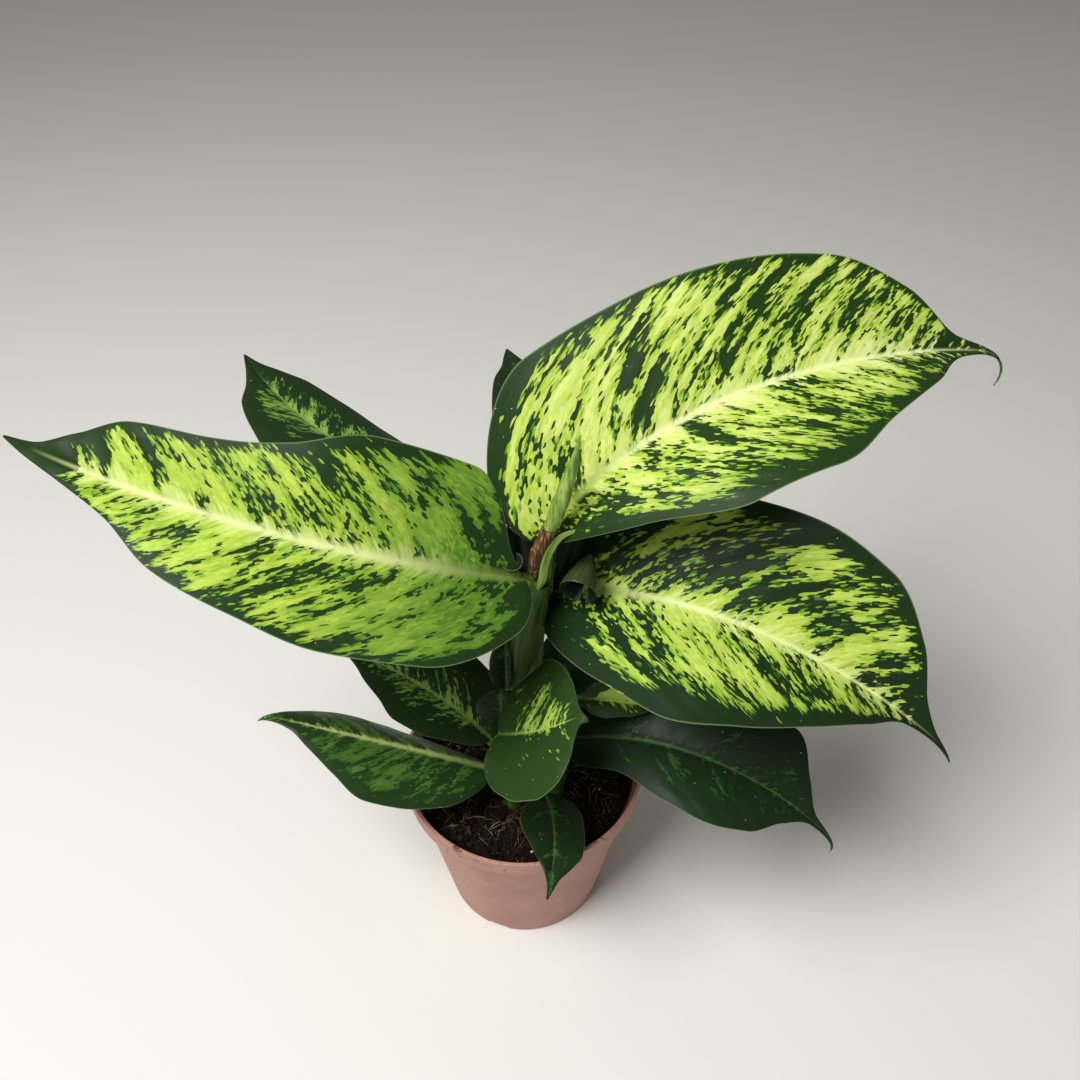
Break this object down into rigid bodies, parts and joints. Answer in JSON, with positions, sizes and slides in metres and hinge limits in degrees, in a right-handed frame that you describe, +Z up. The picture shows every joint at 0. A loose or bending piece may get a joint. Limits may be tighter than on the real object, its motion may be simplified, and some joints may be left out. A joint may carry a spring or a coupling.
{
  "type": "potted dieffenbachia",
  "caption": "Potted dieffenbachia: broad pointed variegated leaves on a sheathed stem with basal shoots, in a tapered plastic pot.",
  "frame": {"origin": "middle of the pot's base, on the resting surface", "axes": "+Z up along the pot's axis; -Y the front, where the small leaf droops over the rim; +X towards the large right leaves; the longest extent of the plant, from the left leaf's tip to the right leaf's, runs along X"},
  "size_m": [0.3914, 0.2169, 0.3433],
  "materials": {
    "pot": "satin",
    "potting_mix": "matte",
    "leaf_bright": "satin",
    "leaf_dark": "satin",
    "new_leaf": "satin",
    "stem": "satin",
    "dry_sheath": "matte"
  },
  "bodies": {
    "root": {"pot": "pot", "potting_mix": "potting_mix", "main_stem": "stem", "left_shoot_stem": "stem", "right_shoot_stem": "stem", "leaf_upper_right": "leaf_bright", "leaf_left": "leaf_bright", "leaf_right": "leaf_bright", "leaf_back_left": "leaf_dark", "leaf_back": "leaf_dark", "leaf_low_right": "leaf_dark", "leaf_low_left": "leaf_bright", "leaf_mid_left": "leaf_dark", "leaf_young_front": "leaf_bright", "leaf_twisted": "leaf_bright", "leaf_folded": "leaf_dark", "leaf_drooping": "leaf_dark", "leaf_tiny": "leaf_dark", "dry_sheath": "dry_sheath", "rolled_new_leaf": "new_leaf"}
  },
  "joints": []
}
